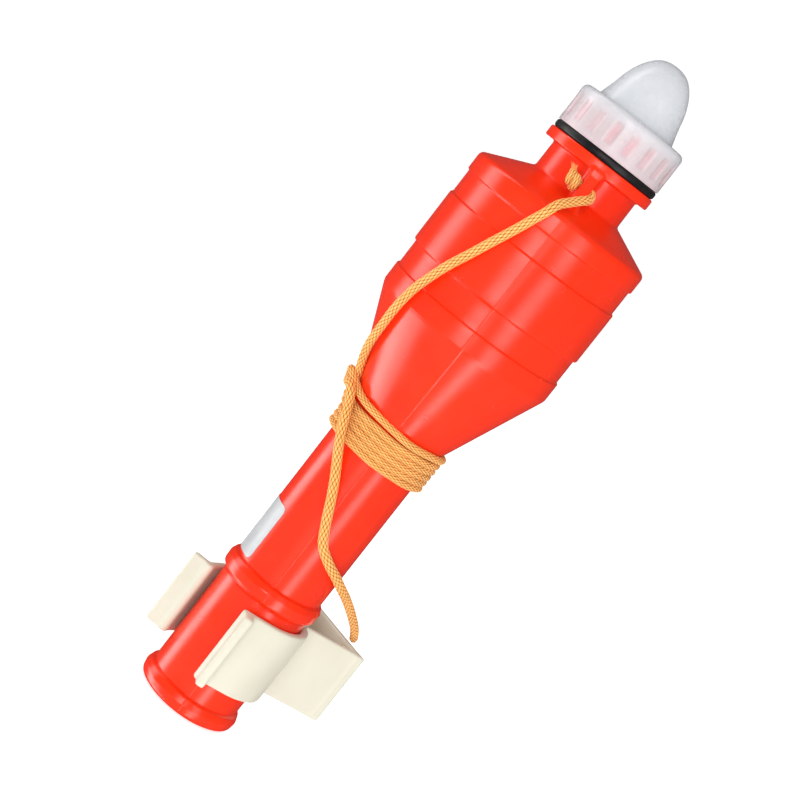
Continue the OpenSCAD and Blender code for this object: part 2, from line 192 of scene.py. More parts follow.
def surface_nets(f, lo, hi, h):
    """The zero surface of f on a grid, as smooth quads."""
    ax = [np.arange(lo[i], hi[i] + h, h) for i in range(3)]
    X, Y, Z = np.meshgrid(*ax, indexing="ij")
    V = f(X, Y, Z)
    S = V < 0
    n = [s - 1 for s in V.shape]
    acc = np.zeros((*n, 3))
    cnt = np.zeros(n)
    offs = [(i, j, k) for i in (0, 1) for j in (0, 1) for k in (0, 1)]

    def part(A, o):
        return A[o[0]:o[0] + n[0], o[1]:o[1] + n[1], o[2]:o[2] + n[2]]

    for a in offs:
        for d in range(3):
            if a[d]:
                continue
            b = tuple(1 if i == d else a[i] for i in range(3))
            va, vb, sa, sb = part(V, a), part(V, b), part(S, a), part(S, b)
            cross = sa != sb
            t = np.where(cross, va / np.where(cross, va - vb, 1), 0)
            for i in range(3):
                acc[..., i] += np.where(cross, a[i] + (t if i == d else 0), 0)
            cnt += cross
    active = cnt > 0
    index = -np.ones(n, int)
    index[active] = np.arange(active.sum())
    base = np.stack(np.nonzero(active), 1)
    verts = (base + acc[active] / cnt[active][:, None]) * h + np.array(lo)
    faces = []
    for d in range(3):
        e, g = [i for i in range(3) if i != d]
        sl0 = [slice(1, n[i]) for i in range(3)]
        sl0[d] = slice(0, n[d])
        sl1 = list(sl0)
        sl1[d] = slice(1, n[d] + 1)
        s0, s1 = S[tuple(sl0)], S[tuple(sl1)]
        where = np.nonzero(s0 != s1)
        if not len(where[0]):
            continue
        flip = s0[where] if d != 1 else ~s0[where]
        c = [w + (0 if i == d else 1) for i, w in enumerate(where)]

        def idx(de, dg):
            q = list(c)
            q[e] = q[e] - de
            q[g] = q[g] - dg
            return index[tuple(q)]

        quad = np.stack([idx(1, 1), idx(0, 1), idx(0, 0), idx(1, 0)], 1)
        quad[~flip] = quad[~flip][:, ::-1]
        faces.append(quad)
    return verts, np.concatenate(faces)


def smin(a, b, k):
    q = np.clip(0.5 + 0.5 * (b - a) / k, 0, 1)
    return b + (a - b) * q - k * q * (1 - q)


def smax(a, b, k):
    return -smin(-a, -b, k)


def poly_sdf(px, py, pts):
    """Signed distance to a closed polygon."""
    pts = np.array(pts, float)
    d = np.full(px.shape, 1e9)
    inside = np.zeros(px.shape, bool)
    for i in range(len(pts)):
        a, b = pts[i], pts[(i + 1) % len(pts)]
        e = b - a
        wx, wy = px - a[0], py - a[1]
        t = np.clip((wx * e[0] + wy * e[1]) / (e @ e), 0, 1)
        d = np.minimum(d, (wx - e[0] * t) ** 2 + (wy - e[1] * t) ** 2)
        c = (a[1] > py) != (b[1] > py)
        inside ^= c & (px < (b[0] - a[0]) * (py - a[1]) / (b[1] - a[1] + 1e-12) + a[0])
    return np.where(inside, -1, 1) * np.sqrt(d)


def extrude_sdf(d2, dz, r):
    a, b = d2 + r, dz + r
    return np.minimum(np.maximum(a, b), 0) + np.hypot(np.maximum(a, 0), np.maximum(b, 0)) - r


def smooth_path(points, step, sigma):
    """A centripetal Catmull-Rom curve through the points, at even steps, softened over sigma millimetres."""
    P = np.array(points, float)
    P = np.vstack([2 * P[0] - P[1], P, 2 * P[-1] - P[-2]])
    out = []
    for i in range(1, len(P) - 2):
        p0, p1, p2, p3 = P[i - 1:i + 3]
        t0 = 0.0
        t1 = t0 + np.linalg.norm(p1 - p0) ** 0.5
        t2 = t1 + np.linalg.norm(p2 - p1) ** 0.5
        t3 = t2 + np.linalg.norm(p3 - p2) ** 0.5
        t = np.linspace(t1, t2, 24, endpoint=False)[:, None]
        a1 = (t1 - t) / (t1 - t0) * p0 + (t - t0) / (t1 - t0) * p1
        a2 = (t2 - t) / (t2 - t1) * p1 + (t - t1) / (t2 - t1) * p2
        a3 = (t3 - t) / (t3 - t2) * p2 + (t - t2) / (t3 - t2) * p3
        b1 = (t2 - t) / (t2 - t0) * a1 + (t - t0) / (t2 - t0) * a2
        b2 = (t3 - t) / (t3 - t1) * a2 + (t - t1) / (t3 - t1) * a3
        out.append((t2 - t) / (t2 - t1) * b1 + (t - t1) / (t2 - t1) * b2)
    out = even(np.vstack(out + [P[-2][None]]), step)
    if sigma > 0:
        k = int(3 * sigma / step)
        w = np.exp(-0.5 * (np.arange(-k, k + 1) * step / sigma) ** 2)
        w /= w.sum()
        pad = np.vstack([2 * out[0] - out[k:0:-1], out, 2 * out[-1] - out[-2:-k - 2:-1]])
        out = np.stack([np.convolve(pad[:, i], w, "valid") for i in range(3)], 1)
        out = even(out, step)
    return out


def even(P, step):
    s = np.concatenate([[0], np.cumsum(np.linalg.norm(np.diff(P, axis=0), axis=1))])
    n = max(2, int(round(s[-1] / step)) + 1)
    q = np.linspace(0, s[-1], n)
    return np.stack([np.interp(q, s, P[:, i]) for i in range(3)], 1)


BRAID_N, BRAID_L = 8, 3.1  # strands each way round the cord, and the axial length of one crossing


def braid(name, path, half_w, half_t, relief=0.3, end0=0.0, end1=0.0, seed=0.0, sides=32, ref=None):
    """A braided cord along the path. half_w and half_t, its half width and half thickness, are one number or one for each point.
    end0 and end1 are lengths over which the ends round off."""
    P = np.asarray(path, float)
    n = len(P)
    step = np.linalg.norm(P[1] - P[0])
    T = np.gradient(P, axis=0)
    T /= np.linalg.norm(T, axis=1)[:, None]
    N = np.stack([P[:, 0], P[:, 1], np.zeros(n)], 1) if ref is None else np.asarray(ref, float)
    N = N - (N * T).sum(1)[:, None] * T
    N /= np.linalg.norm(N, axis=1)[:, None]
    w = np.exp(-0.5 * (np.arange(-12, 13) / 5) ** 2)
    w /= w.sum()
    pad = np.vstack([np.repeat(N[:1], 12, 0), N, np.repeat(N[-1:], 12, 0)])
    N = np.stack([np.convolve(pad[:, i], w, "valid") for i in range(3)], 1)
    N = N - (N * T).sum(1)[:, None] * T
    N /= np.linalg.norm(N, axis=1)[:, None]
    B = np.cross(T, N)
    s = np.arange(n) * step
    k = np.arange(sides)
    a = 2 * pi * k / sides
    v = np.arange(sides + 1) * BRAID_N / sides
    u = s / BRAID_L + seed
    p1, p2 = v[None, :-1] + u[:, None], v[None, :-1] - u[:, None]
    f1, f2 = p1 % 1, p2 % 1
    over = ((np.floor(p1 + 1e-6) + np.floor(p2 + 1e-6)) % 2) < 0.5
    across, along = np.where(over, f1, f2), np.where(over, f2, f1)
    pad_h = (4 * across * (1 - across)) ** 0.5 * (0.35 + 0.65 * (4 * along * (1 - along)) ** 0.5)
    hw = np.broadcast_to(half_w, (n,)).astype(float)
    ht = np.broadcast_to(half_t, (n,)).astype(float)
    shrink = np.ones(n)
    if end0 > 0:
        q = np.clip(s / end0, 0.02, 1)
        shrink *= np.sqrt(q * (2 - q))
    if end1 > 0:
        q = np.clip((s[-1] - s) / end1, 0.02, 1)
        shrink *= np.sqrt(q * (2 - q))
    h = relief * (pad_h - 0.62)
    R1 = (hw[:, None] + h) * shrink[:, None]
    R2 = (ht[:, None] + h) * shrink[:, None]
    V = P[:, None, :] + (R2 * np.cos(a))[..., None] * N[:, None, :] + (R1 * np.sin(a))[..., None] * B[:, None, :]
    verts = np.vstack([V.reshape(-1, 3), P[0], P[-1]])
    faces, uvs = [], []
    for i in range(n - 1):
        for q in range(sides):
            j = (q + 1) % sides
            faces.append((i * sides + q, i * sides + j, (i + 1) * sides + j, (i + 1) * sides + q))
            uvs += [(u[i], v[q]), (u[i], v[q + 1]), (u[i + 1], v[q + 1]), (u[i + 1], v[q])]
    c0, c1 = n * sides, n * sides + 1
    for q in range(sides):
        j = (q + 1) % sides
        faces.append((c0, j, q))
        uvs += [(u[0], v[q]), (u[0], v[q + 1]), (u[0], v[q])]
        faces.append((c1, (n - 1) * sides + q, (n - 1) * sides + j))
        uvs += [(u[-1], v[q]), (u[-1], v[q]), (u[-1], v[q + 1])]
    me = bpy.data.meshes.new(name)
    me.from_pydata((verts * 0.001).tolist(), [], faces)
    me.update()
    layer = me.uv_layers.new(name="UVMap")
    layer.data.foreach_set("uv", np.array(uvs, np.float32).ravel())
    me.polygons.foreach_set("use_smooth", [True] * len(me.polygons))
    o = bpy.data.objects.new(name, me)
    scene.collection.objects.link(o)
    return o


# ---- materials ------------------------------------------------------------------------------------
class Nodes:
    """A short way to write a node tree on one Principled shader."""

    def __init__(self, name, base=(0.8, 0.8, 0.8), rough=0.5, metal=0.0, **sockets):
        self.mat = bpy.data.materials.new(name)
        self.mat.use_nodes = True
        self.tree = self.mat.node_tree
        self.p = self.tree.nodes["Principled BSDF"]
        self.p.inputs["Base Color"].default_value = (*base, 1)
        self.p.inputs["Roughness"].default_value = rough
        self.p.inputs["Metallic"].default_value = metal
        for k, v in sockets.items():
            self.p.inputs[k.replace("_", " ")].default_value = v
        self.co = self.add("ShaderNodeTexCoord").outputs["Object"]
        self.normal = None

    def add(self, kind, **props):
        n = self.tree.nodes.new(kind)
        for k, v in props.items():
            setattr(n, k, v)
        return n

    def link(self, a, b):
        self.tree.links.new(a, b)

    def put(self, socket, value):
        if isinstance(value, bpy.types.NodeSocket):
            self.link(value, socket)
        else:
            socket.default_value = value

    def math(self, op, a, b=0.0, c=0.0):
        n = self.add("ShaderNodeMath", operation=op)
        self.put(n.inputs[0], a)
        self.put(n.inputs[1], b)
        self.put(n.inputs[2], c)
        return n.outputs[0]

    def noise(self, scale, detail=3.0, rough=0.55, stretch=None, co=None):
        n = self.add("ShaderNodeTexNoise")
        n.inputs["Scale"].default_value = scale
        n.inputs["Detail"].default_value = detail
        n.inputs["Roughness"].default_value = rough
        src = co or self.co
        if stretch:
            mp = self.add("ShaderNodeMapping")
            mp.inputs["Scale"].default_value = stretch
            self.link(src, mp.inputs["Vector"])
            src = mp.outputs[0]
        self.link(src, n.inputs["Vector"])
        return n.outputs["Fac"]

    def ramp(self, fac, stops):
        n = self.add("ShaderNodeValToRGB")
        e = n.color_ramp.elements
        while len(e) < len(stops):
            e.new(0.5)
        for x, (pos, col) in zip(e, stops):
            x.position = pos
            x.color = (*col, 1) if len(col) == 3 else col
        self.link(fac, n.inputs[0])
        return n.outputs[0]

    def range(self, fac, a, b, lo=0.3, hi=0.7):
        n = self.add("ShaderNodeMapRange")
        n.inputs["From Min"].default_value, n.inputs["From Max"].default_value = lo, hi
        n.inputs["To Min"].default_value, n.inputs["To Max"].default_value = a, b
        self.link(fac, n.inputs["Value"])
        return n.outputs[0]

    def bump(self, height, strength, distance):
        n = self.add("ShaderNodeBump")
        n.inputs["Strength"].default_value = strength
        n.inputs["Distance"].default_value = distance
        self.link(height, n.inputs["Height"])
        if self.normal is not None:
            self.link(self.normal, n.inputs["Normal"])
        self.normal = n.outputs[0]
        self.link(self.normal, self.p.inputs["Normal"])

    def color(self, out):
        self.link(out, self.p.inputs["Base Color"])

    def rough(self, out):
        self.link(out, self.p.inputs["Roughness"])


def scuffs(n, scale=900.0, stretch=(1, 1, 0.12)):
    """Fine hairline scratches, as a mask from 0 to 1."""
    a = n.noise(scale, 2.0, 0.5, stretch)
    b = n.noise(34.0, 2.0, 0.5)
    return n.math("MULTIPLY", n.range(a, 0, 1, 0.62, 0.68), n.range(b, 0, 1, 0.5, 0.66))


def float_material():
    n = Nodes("float_plastic", rough=0.25, Specular_IOR_Level=0.45)
    flow = n.noise(38.0, 4.0, 0.6, (1, 1, 0.35))
    n.color(n.ramp(flow, [(0.30, (0.79, 0.0225, 0.0028)), (0.52, (0.83, 0.027, 0.0035)), (0.75, (0.865, 0.033, 0.005))]))
    n.rough(n.range(n.noise(120.0, 4.0), 0.215, 0.275))
    n.bump(n.noise(26.0, 2.0, 0.4, (1, 1, 0.35)), 0.25, 0.0012)
    n.bump(n.noise(150.0, 2.0, 0.4, (1, 1, 0.4)), 0.05, 0.0003)
    return n.mat


def clip_material():
    n = Nodes("clip_plastic", rough=0.42, Specular_IOR_Level=0.22)
    flow = n.noise(45.0, 3.0, 0.55, (1, 1, 0.6))
    n.color(n.ramp(flow, [(0.3, (0.61, 0.59, 0.475)), (0.55, (0.645, 0.63, 0.52)), (0.8, (0.675, 0.66, 0.555))]))
    s = scuffs(n, 700.0, (1, 1, 0.2))
    n.rough(n.math("ADD", n.range(n.noise(150.0, 3.0), 0.38, 0.50), n.math("MULTIPLY", s, 0.15)))
    n.bump(n.noise(60.0, 2.0), 0.10, 0.0006)
    n.bump(n.noise(3200.0, 2.0, 0.6), 0.06, 0.00015)
    return n.mat


def lens_material():
    """Milky plastic. The screw ring is thin over the red neck, most of all in its grooves, so it looks pinker there."""
    n = Nodes("lens_plastic", rough=0.28, Specular_IOR_Level=0.4, Subsurface_Weight=0.25, IOR=1.46)
    n.p.inputs["Subsurface Radius"].default_value = (0.002, 0.0018, 0.0018)
    n.p.inputs["Subsurface Scale"].default_value = 1.0
    sep = n.add("ShaderNodeSeparateXYZ")
    n.link(n.co, sep.inputs[0])
    r = n.math("SQRT", n.math("ADD", n.math("POWER", n.math("ABSOLUTE", sep.outputs[0]), 2.0), n.math("POWER", n.math("ABSOLUTE", sep.outputs[1]), 2.0)))
    low = n.range(sep.outputs[2], 1, 0, 0.2862, 0.2945)
    groove = n.range(r, 1, 0, 0.0235, 0.02405)
    patch = n.range(n.noise(95.0, 2.0, 0.5, (1, 1, 0.6)), 0.35, 1.0)
    pink = n.math("MULTIPLY", low, n.math("ADD", 0.28, n.math("MULTIPLY", n.math("MULTIPLY", groove, patch), 0.72)))
    n.color(n.ramp(pink, [(0.0, (0.545, 0.558, 0.585)), (0.28, (0.535, 0.455, 0.47)), (0.75, (0.575, 0.395, 0.42)), (1.0, (0.595, 0.34, 0.365))]))
    n.rough(n.range(n.noise(140.0, 3.0), 0.22, 0.32))
    n.bump(n.noise(30.0, 1.0, 0.4), 0.06, 0.0006)
    return n.mat


def rubber_material():
    n = Nodes("seal_rubber", base=(0.012, 0.012, 0.013), rough=0.4, Specular_IOR_Level=0.25)
    n.color(n.ramp(n.noise(260.0, 4.0, 0.6), [(0.35, (0.006, 0.006, 0.0065)), (0.62, (0.010, 0.010, 0.011)), (0.85, (0.026, 0.025, 0.024))]))
    n.rough(n.range(n.noise(400.0, 3.0), 0.28, 0.5))
    n.bump(n.noise(1800.0, 3.0, 0.7), 0.25, 0.0002)
    return n.mat


def label_material():
    n = Nodes("label", rough=0.38, Specular_IOR_Level=0.5)
    n.color(n.ramp(n.noise(70.0, 5.0, 0.6), [(0.3, (0.41, 0.425, 0.44)), (0.6, (0.495, 0.51, 0.52)), (0.85, (0.56, 0.57, 0.575))]))
    n.rough(n.range(n.noise(180.0, 3.0), 0.3, 0.48))
    n.bump(n.noise(110.0, 3.0, 0.5), 0.3, 0.0005)
    n.bump(n.noise(2400.0, 2.0, 0.6), 0.06, 0.0001)
    return n.mat


def cord_material():
    """Braid from the cord's own lengthwise and crosswise coordinates: every pad carries its own fine yarns."""
    n = Nodes("lanyard", rough=0.62, Specular_IOR_Level=0.35, Sheen_Weight=0.25, Sheen_Roughness=0.4)
    n.p.inputs["Sheen Tint"].default_value = (1.0, 0.72, 0.4, 1)
    sep = n.add("ShaderNodeSeparateXYZ")
    n.link(n.add("ShaderNodeTexCoord").outputs["UV"], sep.inputs[0])
    u, v = sep.outputs[0], sep.outputs[1]
    p1, p2 = n.math("ADD", v, u), n.math("SUBTRACT", v, u)
    f1, f2 = n.math("FRACT", p1), n.math("FRACT", p2)
    parity = n.math("PINGPONG", n.math("ADD", n.math("FLOOR", p1), n.math("FLOOR", p2)), 1.0)
    inv = n.math("SUBTRACT", 1.0, parity)
    across = n.math("ADD", n.math("MULTIPLY", inv, f1), n.math("MULTIPLY", parity, f2))
    along = n.math("ADD", n.math("MULTIPLY", inv, f2), n.math("MULTIPLY", parity, f1))
    crown_a = n.math("MULTIPLY", n.math("MULTIPLY", across, n.math("SUBTRACT", 1.0, across)), 4.0)
    crown_b = n.math("MULTIPLY", n.math("MULTIPLY", along, n.math("SUBTRACT", 1.0, along)), 4.0)
    h = n.math("MULTIPLY", n.math("POWER", crown_a, 0.7), n.math("ADD", n.math("MULTIPLY", n.math("POWER", crown_b, 0.6), 0.75), 0.25))
    yarn = n.math("MULTIPLY_ADD", n.math("SINE", n.math("MULTIPLY", across, 31.4)), 0.5, 0.5)
    fuzz = n.noise(1500.0, 3.0, 0.6)
    # colour follows pad height: painted shade darkens the gaps between the pads and a painted highlight lightens the
    # pad crowns; the yarn stripes and the noise add real tone
    braid_tone_painted_shade_and_highlight = n.math("ADD", n.math("MULTIPLY", h, 0.78), n.math("ADD", n.math("MULTIPLY", yarn, 0.10), n.math("MULTIPLY", n.noise(220.0, 3.0), 0.16)))
    n.color(n.ramp(braid_tone_painted_shade_and_highlight, [(0.16, (0.12, 0.05, 0.011)), (0.38, (0.48, 0.17, 0.032)), (0.58, (1.0, 0.37, 0.075)), (0.88, (1.0, 0.56, 0.19))]))
    n.rough(n.range(fuzz, 0.5, 0.75))
    n.bump(h, 0.85, 0.00035)
    n.bump(yarn, 0.35, 0.00008)
    n.bump(fuzz, 0.2, 0.0001)
    return n.mat


def fray_material():
    n = Nodes("lanyard_fray", rough=0.7, Specular_IOR_Level=0.3, Sheen_Weight=0.3)
    n.color(n.ramp(n.noise(900.0, 3.0), [(0.3, (0.72, 0.26, 0.05)), (0.7, (1.0, 0.5, 0.18))]))
    n.rough(n.range(n.noise(500.0, 2.0), 0.55, 0.8))
    n.bump(n.noise(3000.0, 2.0), 0.3, 0.0001)
    return n.mat


def metal_material(name, dark, light, lo, hi, brushed=(1, 1, 12)):
    n = Nodes(name, rough=0.3, metal=1.0)
    n.color(n.ramp(n.noise(120.0, 4.0, 0.6), [(0.3, dark), (0.65, light)]))
    n.rough(n.range(n.noise(420.0, 3.0, 0.6, brushed), lo, hi))
    n.bump(n.noise(900.0, 2.0, 0.6, brushed), 0.12, 0.0001)
    return n.mat


def plastic_material(name, dark, light, lo, hi, fine=2400.0, strength=0.1, **sockets):
    n = Nodes(name, rough=0.4, **sockets)
    n.color(n.ramp(n.noise(80.0, 4.0, 0.6), [(0.3, dark), (0.7, light)]))
    n.rough(n.range(n.noise(200.0, 3.0), lo, hi))
    n.bump(n.noise(fine, 2.0, 0.6), strength, 0.00015)
    return n.mat


def jacket_material():
    n = Nodes("cell_jacket", rough=0.3, Coat_Weight=0.4)
    n.p.inputs["Coat Roughness"].default_value = 0.15
    sep = n.add("ShaderNodeSeparateXYZ")
    n.link(n.co, sep.inputs[0])
    band = n.math("FRACT", n.math("DIVIDE", n.math("SUBTRACT", sep.outputs[2], 0.012), 0.0615))
    n.color(n.ramp(band, [(0.0, (0.35, 0.36, 0.38)), (0.03, (0.35, 0.36, 0.38)), (0.035, (0.03, 0.09, 0.30)), (0.70, (0.03, 0.09, 0.30)),
                          (0.705, (0.62, 0.46, 0.12)), (0.955, (0.62, 0.46, 0.12))]))
    n.rough(n.range(n.noise(160.0, 4.0), 0.24, 0.42))
    n.bump(n.noise(60.0, 3.0), 0.12, 0.0004)
    return n.mat


M = {
    "float_plastic": float_material(),
    "lens_plastic": lens_material(),
    "seal_rubber": rubber_material(),
    "lanyard": cord_material(),
    "fray": fray_material(),
    "label": label_material(),
    "clip_plastic": clip_material(),
    "liner": plastic_material("liner", (0.40, 0.30, 0.19), (0.52, 0.41, 0.27), 0.75, 0.92, 900.0, 0.35),
    "steel": metal_material("steel", (0.52, 0.52, 0.54), (0.72, 0.72, 0.74), 0.16, 0.36),
    "brass": metal_material("brass", (0.58, 0.40, 0.13), (0.82, 0.62, 0.27), 0.16, 0.34),
    "cell_jacket": jacket_material(),
    "cell_fill": plastic_material("cell_fill", (0.02, 0.02, 0.02), (0.05, 0.05, 0.05), 0.7, 0.9, 1200.0, 0.5),
    "black_plastic": plastic_material("black_plastic", (0.012, 0.012, 0.013), (0.03, 0.03, 0.03), 0.35, 0.55),
    "white_plastic": plastic_material("white_plastic", (0.72, 0.70, 0.63), (0.82, 0.80, 0.74), 0.35, 0.5, Subsurface_Weight=0.1),
    "glass": plastic_material("glass", (0.93, 0.95, 0.97), (0.98, 0.99, 1.0), 0.01, 0.04, 300.0, 0.02, Transmission_Weight=0.95, IOR=1.5),
    "clear_plastic": plastic_material("clear_plastic", (0.85, 0.88, 0.9), (0.92, 0.95, 0.97), 0.06, 0.16, 600.0, 0.05,
                                      Transmission_Weight=0.8, IOR=1.49),
    "wire": plastic_material("wire", (0.45, 0.02, 0.015), (0.62, 0.035, 0.03), 0.35, 0.5),
}
slot_of = {s["node"]: s["material_slot"] for s in frame["record"]["subparts"]}
for node_name, o in frame["nodes"].items():
    if o.type == "MESH":
        if not o.material_slots:
            o.data.materials.append(None)
        for s in o.material_slots:
            s.material = M[slot_of[node_name]]


def dress(o, slot, body, *nodes):
    o.data.materials.clear()
    o.data.materials.append(M[slot])
    if nodes:
        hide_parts(*nodes)
    if body:
        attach(o, body)
    return o


# ---- lanyard ----------------------------------------------------------------------------------------
def surface_r(z):
    """Outer radius of the tube and the cone under the cord."""
    return np.interp(z, [0, 140.5, 142.7, 144.9, 186.2], [20.2, 20.2, 20.6, 21.4, 39.5])


def polar(deg, z, lift=None, r=None):
    rr = r if r is not None else float(surface_r(z)) + lift
    return [rr * math.cos(rad(deg)), rr * math.sin(rad(deg)), z]


run = [[16.9, -17.5, 262.3], [18.53, -16.02, 262.2], [20.3, -15.98, 261.2], [21.76, -17.64, 259.6], [22.7, -21.2, 258.2],
       [23.3, -26.9, 254.9], [24.0, -31.9, 251.9], [24.6, -34.5, 248.8], [23.8, -35.4, 245.5], [22.4, -36.2, 242],
       [20.6, -37.2, 237], [16, -39.4, 226], [12, -40.8, 217], [8, -41.8, 209], [4.4, -42.1, 201],
       [1.6, -42.2, 193.5], [-0.6, -41.5, 185], [-5.2, -36.8, 174.5], [-9.9, -31.2, 164]]
run += [polar(-118.5, 155, 1.9), polar(-122.5, 150.5, 1.4), polar(-129, 146.6, 1.2), polar(-141, 142.6, 1.15), polar(-157, 138.4, 1.15),
        polar(-174, 133.8, 1.15), polar(-190, 130, 1.3)]
turns, z_first, pitch = 5.53, 127.7, 2.82
wound = []
for t in np.arange(0.035, turns, 1 / 24):
    deg = -215 - 360 * t
    z = z_first + pitch * t + 0.9 * max(0.0, t - 4.7) ** 1.5 + 0.22 * math.sin(rad(3 * deg + 20)) * min(1, t) + 0.12 * math.sin(rad(7.3 * deg))
    wound.append(polar(deg, z, 1.72 + 0.10 * math.sin(rad(2.2 * deg))))
top = [polar(-80, 145.2, 1.75), polar(-92, 145.7, 1.8), polar(-101, 146.3, 1.8), polar(-107, 147.0, 1.8), polar(-112, 147.8, 2.3), polar(-116.5, 149.0, 3.3),
       polar(-121.5, 150.5, 4.3), polar(-127.5, 151.0, 4.6), polar(-132, 150.0, 4.6), polar(-133.5, 148.2, 4.5), polar(-131, 146.8, 4.7),
       polar(-125.5, 146.3, 5.0), polar(-118, 146.8, 5.2)]
tail = [[-8.3, -25.8, 146.0], [-3.4, -25.6, 139.5], [0.4, -25.7, 133],
        [3.4, -24.4, 127], [6.2, -22.2, 121], [9.4, -20.3, 115], [12.3, -18.7, 109], [14.6, -17, 103], [16.6, -15.1, 97.3],
        [18.9, -12.1, 91], [21.6, -5.8, 86], [22.3, 1.5, 82.4], [22, 9, 78.6], [19.6, 19, 74], [16.6, 32, 67], [13.2, 42.5, 60.8],
        [9.4, 50.6, 55.1]]
line = smooth_path(run + wound + top + tail, 0.5, 0.9)
# the turns are lifted over the strand that runs down beneath them
first = even(smooth_path(run, 0.5, 0.9), 0.5)
lo_i, hi_i = len(first) - 84, len(first) + 6
under = line[lo_i:hi_i]
ru, pu = np.hypot(under[:, 0], under[:, 1]), np.arctan2(under[:, 1], under[:, 0])
rl, pl = np.hypot(line[:, 0], line[:, 1]), np.arctan2(line[:, 1], line[:, 0])
dp = (pl[:, None] - pu[None] + pi) % (2 * pi) - pi
gap2 = (dp * 23.0) ** 2 + (line[:, 2][:, None] - under[:, 2][None]) ** 2
need = (ru[None] + np.sqrt(np.maximum(0, 2.45 ** 2 - gap2)) - 9 * (gap2 > 6.0)).max(1)
push = np.maximum(0, need - rl)
push[:hi_i + 60] = 0
push[line[:, 2] > 149.5] = 0
push[int(len(line) * 0.88):] = 0
wide_push = np.array([push[max(0, i - 4):i + 5].max() for i in range(len(push))])
w = np.exp(-0.5 * (np.arange(-12, 13) / 4.5) ** 2)
push = np.convolve(wide_push, w / w.sum(), "same")
line[:, 0] *= 1 + push / rl
line[:, 1] *= 1 + push / rl
line = even(line, 0.5)
line[0] = run[0]
length = float(np.linalg.norm(np.diff(line, axis=0), axis=1).sum())
s_line = np.arange(len(line)) * length / (len(line) - 1)
s_wound = (float(np.linalg.norm(np.diff(smooth_path(run, 0.5, 0.9), axis=0), axis=1).sum()),
           float(np.linalg.norm(np.diff(smooth_path(run + wound + top, 0.5, 0.9), axis=0), axis=1).sum()))
tight = np.clip(np.minimum((s_line - s_wound[0] + 14) / 14, (s_wound[1] - s_line + 4) / 10), 0, 1)
tight = tight * tight * (3 - 2 * tight)
flat = np.clip(1 - np.abs(s_line - (s_wound[0] - 9)) / 16, 0, 1)
pull = np.clip((s_wound[0] - s_line) / 30, 0, 1)
lanyard = braid("lanyard", line, 2.0 - 0.56 * tight - 0.22 * pull, 1.78 - 0.2 * tight - 0.4 * np.minimum(1, flat * 1.8) - 0.12 * pull, end1=1.6)
print("CORD", round(length, 1))
dress(lanyard, "lanyard", "float", "lanyard_run", "lanyard_windings", "lanyard_tail")

# stopper knot: the cord leaves the hole, goes once and a half round itself and comes out on top, frayed
LUG = rad(-46)
e_r, e_t, e_z = np.array([math.cos(LUG), math.sin(LUG), 0]), np.array([math.sin(LUG), -math.cos(LUG), 0]), np.array([0, 0, 1.0])
hole = np.array([24.3 * e_r[0], 24.3 * e_r[1], 262.3])


def at_knot(t, r, z):
    """t along the hole to the knot's side, r outward from the neck, z up, from the hole's middle."""
    return hole + e_t * t + e_r * r + e_z * z


kp = [at_knot(-0.5, 0, 0), at_knot(1.6, 0, 0), at_knot(3.4, 0.2, 0.4), at_knot(4.8, 1.2, 1.4), at_knot(5.2, 2.7, 1.7), at_knot(4.7, 3.4, 0.1),
      at_knot(4.4, 2.6, -2.0), at_knot(4.6, 0.4, -2.8), at_knot(5.1, -1.7, -1.9), at_knot(5.9, -2.1, 0.4), at_knot(6.9, -0.7, 2.1),
      at_knot(7.5, 1.4, 1.6), at_knot(7.4, 2.3, -0.4), at_knot(6.9, 1.4, -1.7), at_knot(6.8, -0.2, -1.1), at_knot(7.1, -0.7, 0.5),
      at_knot(7.6, -0.2, 2.2), at_knot(8.3, 0.3, 3.6)]
kl = smooth_path(kp, 0.3, 0.35)
kref = kl - at_knot(5.5, 0.5, 0)
knot = braid("lanyard_stopper", kl, 1.42, 1.28, end1=1.0, seed=0.4, ref=kref, relief=0.2)
dress(knot, "lanyard", "float", "lanyard_knot")
rng = np.random.default_rng(7)
fv, ff = [], []
tip, tdir = kl[-3], (kl[-1] - kl[-8]) / np.linalg.norm(kl[-1] - kl[-8])
for i in range(46):
    a, q = rng.uniform(0, 2 * pi), rng.uniform(0.15, 1.0)
    side = e_r * math.cos(a) + e_t * math.sin(a)
    start = tip + side * q * 1.1
    bend = side * rng.uniform(0.3, 1.5) * q + e_z * rng.uniform(-0.3, 0.4)
    ln = rng.uniform(0.9, 2.3)
    r0 = rng.uniform(0.09, 0.15)
    base_i = len(fv)
    for k in range(5):
        w = k / 4
        c = start + tdir * ln * w + bend * w * w
        rr = r0 * (1 - 0.5 * w)
        for j in range(5):
            b = 2 * pi * j / 5
            fv.append(c + e_r * rr * math.cos(b) + e_t * rr * math.sin(b))
    for k in range(4):
        for j in range(5):
            ff.append((base_i + k * 5 + j, base_i + k * 5 + (j + 1) % 5, base_i + (k + 1) * 5 + (j + 1) % 5, base_i + (k + 1) * 5 + j))
    ff += [tuple(base_i + j for j in range(4, -1, -1)), tuple(base_i + 20 + j for j in range(5))]
fray = mesh("lanyard_fray", fv, ff)
outward(fray)
dress(fray, "fray", "float")

